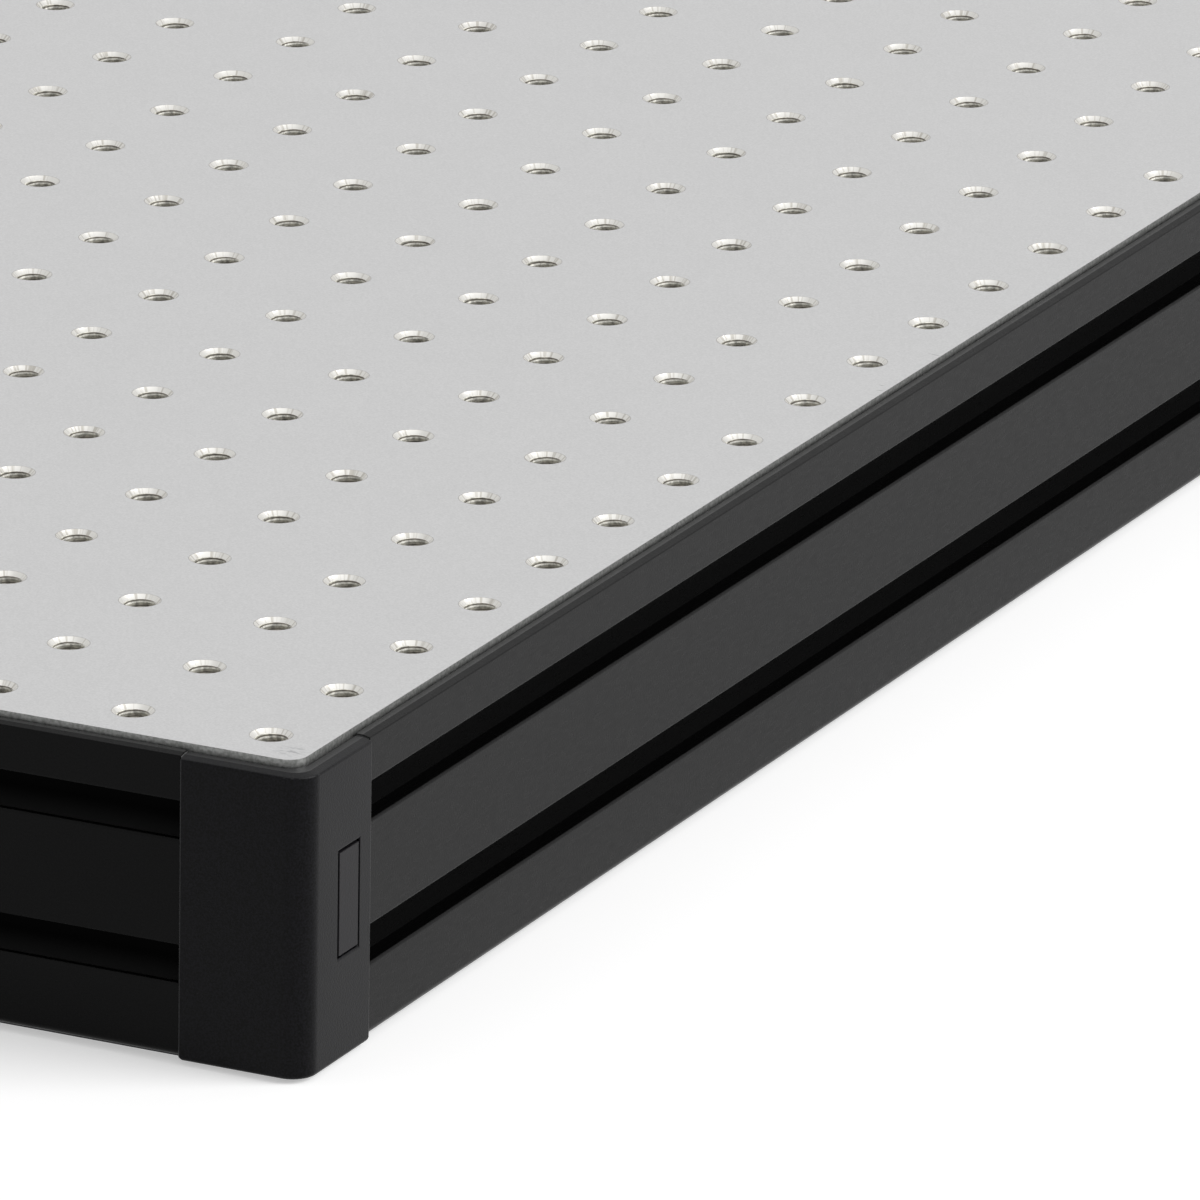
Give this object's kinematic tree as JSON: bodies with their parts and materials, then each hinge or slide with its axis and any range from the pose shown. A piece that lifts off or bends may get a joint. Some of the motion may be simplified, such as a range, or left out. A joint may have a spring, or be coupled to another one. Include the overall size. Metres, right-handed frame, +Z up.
{
  "type": "optical breadboard",
  "caption": "Flat rectangular breadboard: pale metal top with a square grid of tapped holes, dark T-slotted side rails, moulded corner caps and a plain base.",
  "frame": {"origin": "middle of the underside, on the surface that the board rests on", "axes": "+Z up out of the tapped face, +Y along the board's length, +X across it; the cap with the plate is at +X, -Y"},
  "size_m": [0.3018, 0.6018, 0.0536],
  "materials": {
    "top_steel": "satin ground stainless steel",
    "base_steel": "plain dark coated steel sheet",
    "core": "bare honeycomb foil",
    "seal": "matt sealing compound",
    "rail": "black anodised extrusion",
    "cap": "fine textured black moulding",
    "badge": "plain dark grey insert"
  },
  "bodies": {
    "root": {"top_skin": "top_steel", "bottom_skin": "base_steel", "honeycomb_core": "core", "top_edge_seal": "seal", "bottom_edge_seal": "seal", "front_rail": "rail", "right_rail": "rail", "back_rail": "rail", "left_rail": "rail", "front_left_cap": "cap", "front_right_cap": "cap", "back_right_cap": "cap", "back_left_cap": "cap", "blank_badge": "badge"}
  },
  "joints": []
}
